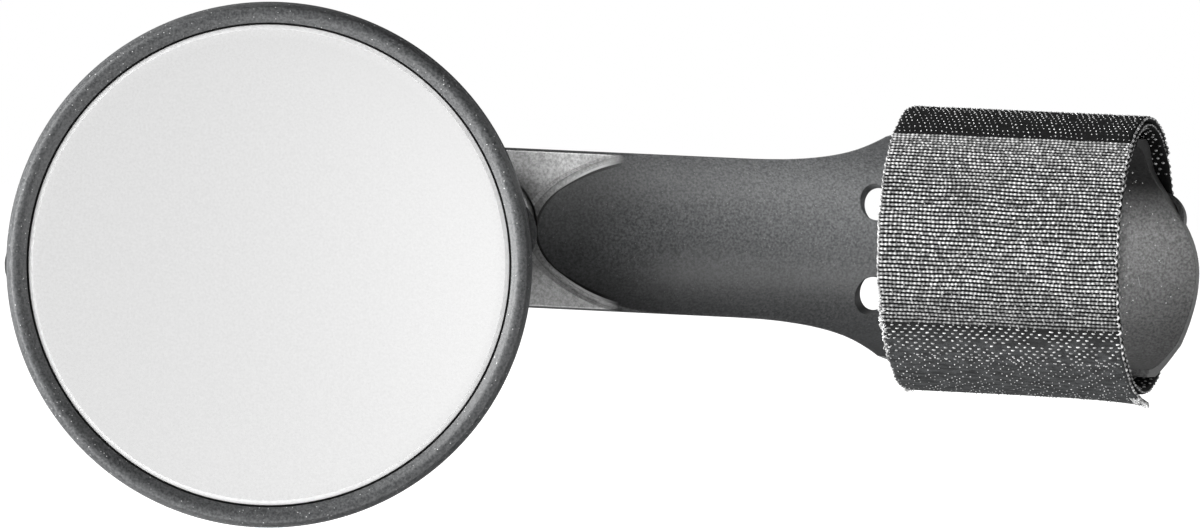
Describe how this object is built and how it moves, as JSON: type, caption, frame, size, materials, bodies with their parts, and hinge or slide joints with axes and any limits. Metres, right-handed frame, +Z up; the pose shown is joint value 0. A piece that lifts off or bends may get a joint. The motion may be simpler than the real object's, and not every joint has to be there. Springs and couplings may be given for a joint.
{
  "type": "bike mirror",
  "caption": "Round convex bicycle mirror on a ball joint, on a plastic arm whose saddle straps round a handlebar hood.",
  "frame": {"origin": "on the hood's axis, at the middle of the strap's width", "axes": "+X along the arm from the mirror to the tongue, -Y out of the saddle's open side, +Z up"},
  "size_m": [0.1797, 0.051, 0.0814],
  "materials": {
    "arm_plastic": "satin, fine moulded grain",
    "rim_plastic": "satin, fine moulded grain",
    "head_plastic": "satin, fine moulded grain",
    "seat_plastic": "smooth acetal",
    "lens": "silvered, bevelled edge",
    "foam": "adhesive foam",
    "hook_tape": "ribbed woven tape",
    "loop_tape": "looped woven tape",
    "thread": "twisted thread",
    "steel": "zinc plated"
  },
  "bodies": {
    "arm": {"arm_saddle": "arm_plastic", "saddle_hook_patch": "hook_tape", "strap_loop_tape": "loop_tape", "strap_hook_tape": "hook_tape", "strap_stitches": "thread", "ball_stud": "steel", "stud_washer": "steel", "stud_spring_washer": "steel", "stud_nut": "steel", "nut_cap": "head_plastic"},
    "rear_seat": {"rear_ball_seat": "seat_plastic"},
    "front_seat": {"front_ball_seat": "seat_plastic"},
    "head": {"rear_shell": "head_plastic", "socket_retainer": "head_plastic", "retainer_screws": "steel", "lens_carrier": "head_plastic", "lens_foam_pad": "foam", "mirror_lens": "lens", "bezel_ring": "rim_plastic"}
  },
  "joints": [
    {"name": "head_pan", "type": "hinge", "parent": "arm", "child": "rear_seat", "pos_m": [-0.0905, 0.0012, 0], "axis": [0, 0, 1], "range_deg": [-37, 7]},
    {"name": "head_tilt", "type": "hinge", "parent": "rear_seat", "child": "front_seat", "pos_m": [-0.0905, 0.0012, 0], "axis": [0.9659, 0.2588, 0], "range_deg": [-20, 20]},
    {"name": "head_swing", "type": "hinge", "parent": "front_seat", "child": "head", "pos_m": [-0.0905, 0.0012, 0], "axis": [0.2588, -0.9659, 0], "range_deg": [-40, 40]}
  ]
}
